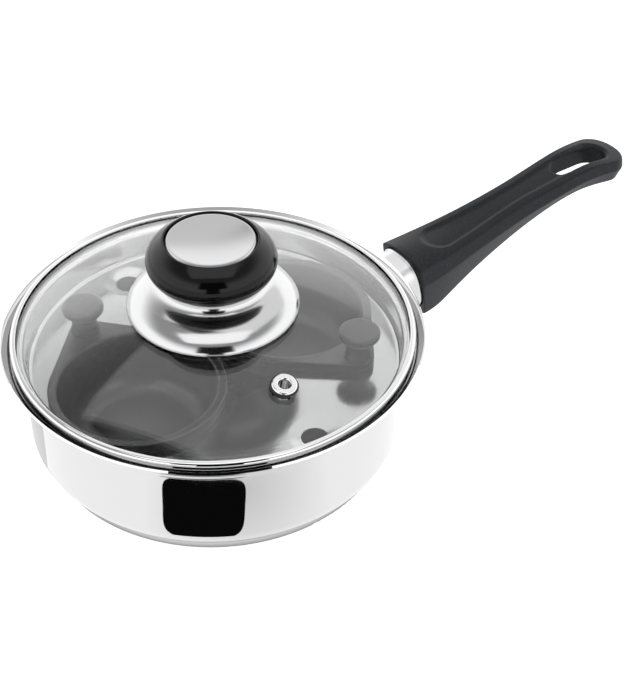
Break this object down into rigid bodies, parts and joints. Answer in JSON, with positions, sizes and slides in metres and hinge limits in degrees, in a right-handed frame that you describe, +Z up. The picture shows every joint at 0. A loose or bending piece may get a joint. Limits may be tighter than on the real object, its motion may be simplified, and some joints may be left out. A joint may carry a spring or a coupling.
{
  "type": "egg poacher pan",
  "caption": "Small straight-sided steel pan with a slotted handle, a domed glass lid with a round knob, and an inner tray that holds lift-out egg cups over water.",
  "frame": {"origin": "centre of the underside of the base, in the plane that the pan stands on", "axes": "+Z up along the pan's axis, +X from the axis out along the handle"},
  "size_m": [0.317, 0.174, 0.0969],
  "materials": {
    "polished_steel": "mirror-polished stainless steel",
    "tray_steel": "polished stainless sheet with fine circular marks",
    "plain_steel": "plain turned steel",
    "brushed_cap": "fine satin stainless steel",
    "aluminium_core": "plain",
    "non_stick_aluminium": "dark grey non-stick coating, finely speckled",
    "handle_plastic": "fine-grained dark grey phenolic moulding",
    "cup_knob_plastic": "satin dark grey phenolic moulding",
    "knob_plastic": "satin black phenolic moulding",
    "clear_glass": "clear tempered glass",
    "black_rubber": "black silicone",
    "insert_brass": "plain"
  },
  "bodies": {
    "pan": {"pan_body": "polished_steel", "base_cap": "polished_steel", "base_core": "aluminium_core", "handle_bracket": "plain_steel", "handle_guard": "polished_steel", "handle_grip": "handle_plastic", "handle_bolt": "plain_steel"},
    "tray": {"poacher_tray": "tray_steel"},
    "cup_1": {"egg_cup_1": "non_stick_aluminium", "cup_knob_1": "cup_knob_plastic", "cup_knob_screw_1": "plain_steel"},
    "cup_2": {"egg_cup_2": "non_stick_aluminium", "cup_knob_2": "cup_knob_plastic", "cup_knob_screw_2": "plain_steel"},
    "lid": {"lid_glass": "clear_glass", "lid_band": "polished_steel", "vent_eyelet": "polished_steel", "vent_gasket": "black_rubber", "knob_gasket": "black_rubber", "knob_skirt": "polished_steel", "knob_base": "knob_plastic", "knob_body": "knob_plastic", "knob_cap": "brushed_cap", "knob_insert": "insert_brass", "knob_washer": "plain_steel", "knob_screw": "plain_steel"}
  },
  "joints": [
    {"name": "tray_lift", "type": "slide", "parent": "pan", "child": "tray", "axis": [0, 0, 1], "range_m": [0, 0.06]},
    {"name": "cup_1_lift", "type": "slide", "parent": "tray", "child": "cup_1", "axis": [0, 0, 1], "range_m": [0, 0.06]},
    {"name": "cup_2_lift", "type": "slide", "parent": "tray", "child": "cup_2", "axis": [0, 0, 1], "range_m": [0, 0.06]},
    {"name": "lid_lift", "type": "slide", "parent": "cup_1", "child": "lid", "axis": [0, 0, 1], "range_m": [0, 0.08]}
  ],
  "couplings": [
    {"joint": "cup_2_lift", "follows": "cup_1_lift", "ratio": 1}
  ]
}
